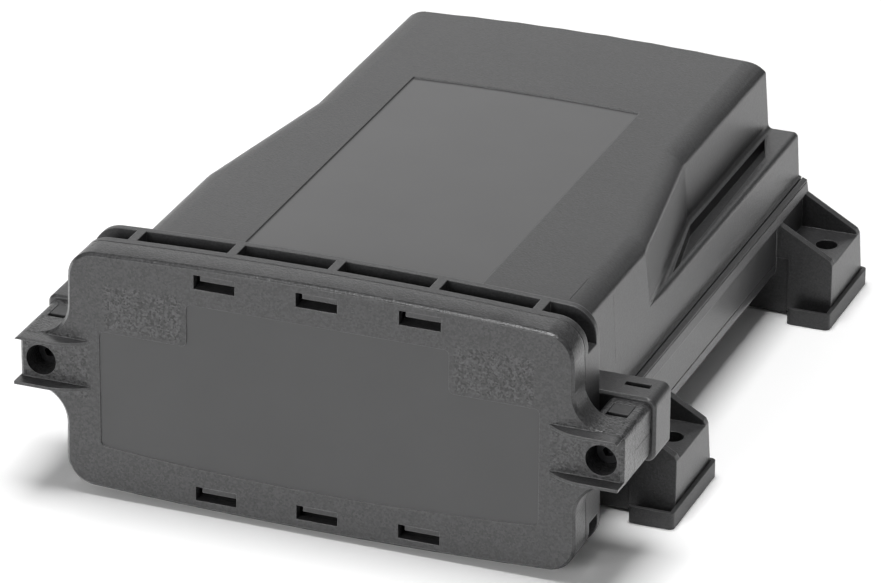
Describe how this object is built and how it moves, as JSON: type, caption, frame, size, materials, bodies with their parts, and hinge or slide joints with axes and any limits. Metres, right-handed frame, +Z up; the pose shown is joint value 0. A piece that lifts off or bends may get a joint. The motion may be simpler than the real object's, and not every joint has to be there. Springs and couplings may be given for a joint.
{
  "type": "injection moulded plastic housing",
  "caption": "Low tunnel-shaped plastic housing on four feet, with one end closed by a screwed cover and a stepped, narrower rear block.",
  "frame": {"origin": "centre of the rectangle of four foot holes, on the ground plane under the shoes", "axes": "+X to the right seen from the cover, +Y from the cover towards the closed rear end, +Z up"},
  "size_m": [0.1798, 0.2195, 0.0758],
  "materials": {
    "hood_plastic": "dark grey moulded plastic with a fine grain",
    "cover_plastic": "dark grey moulded plastic with a fine grain and a smooth panel",
    "seal_rubber": "black rubber",
    "screw_steel": "blackened steel",
    "clip_plastic": "dark grey moulded plastic",
    "shoe_plastic": "dark grey plastic"
  },
  "bodies": {
    "root": {"hood": "hood_plastic", "front_cover": "cover_plastic", "cover_seal": "seal_rubber", "cover_screws": "screw_steel", "square_nuts": "screw_steel", "screw_retainer_left": "clip_plastic", "screw_retainer_right": "clip_plastic", "foot_shoe_front_left": "shoe_plastic", "foot_shoe_front_right": "shoe_plastic", "foot_shoe_rear_left": "shoe_plastic", "foot_shoe_rear_right": "shoe_plastic"}
  },
  "joints": []
}
